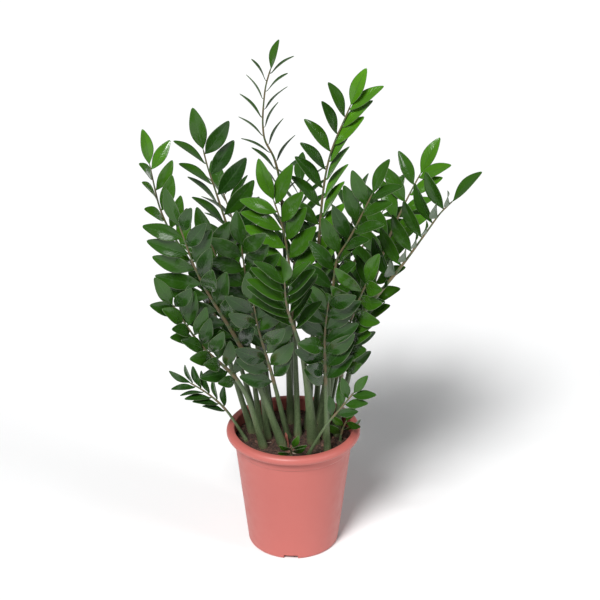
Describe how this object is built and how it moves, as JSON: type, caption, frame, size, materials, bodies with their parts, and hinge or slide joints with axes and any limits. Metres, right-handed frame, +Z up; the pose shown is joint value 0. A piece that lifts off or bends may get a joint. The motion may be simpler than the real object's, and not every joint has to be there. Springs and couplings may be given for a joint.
{
  "type": "potted zz plant",
  "caption": "Upright ZZ plant with long arching fronds of glossy dark green leaflets, growing from soil in a tapered terracotta-coloured nursery pot with a rolled rim.",
  "frame": {"origin": "centre of the pot's flat underside, on the ground", "axes": "+Z up along the pot's axis, -Y towards the front, +X to the right seen from the front"},
  "size_m": [0.5609, 0.5592, 0.9196],
  "materials": {
    "pot_plastic": "satin injection-moulded terracotta-coloured plastic",
    "potting_soil": "loose dark peat and bark, matt",
    "zz_frond": "waxy glossy leaf, pale green matt stem",
    "dry_husk": "dry papery bract, red-brown"
  },
  "bodies": {
    "root": {"pot": "pot_plastic", "soil": "potting_soil", "dry_sheath": "dry_husk", "frond_tallest": "zz_frond", "frond_upper_left": "zz_frond", "frond_far_left": "zz_frond", "frond_left": "zz_frond", "frond_lower_left": "zz_frond", "frond_leaning_forward": "zz_frond", "frond_long_right": "zz_frond", "frond_upper_right": "zz_frond", "frond_right": "zz_frond", "frond_far_right": "zz_frond", "frond_inner_right": "zz_frond", "frond_inner_left": "zz_frond", "frond_back_left": "zz_frond", "frond_back": "zz_frond", "frond_back_right": "zz_frond", "frond_middle_left": "zz_frond", "frond_middle": "zz_frond", "frond_middle_right": "zz_frond", "frond_front_left": "zz_frond", "frond_front_right": "zz_frond", "frond_side_right": "zz_frond", "frond_side_left": "zz_frond", "frond_low_left": "zz_frond", "frond_low_right": "zz_frond", "shoot_front": "zz_frond", "shoot_right": "zz_frond"}
  },
  "joints": []
}
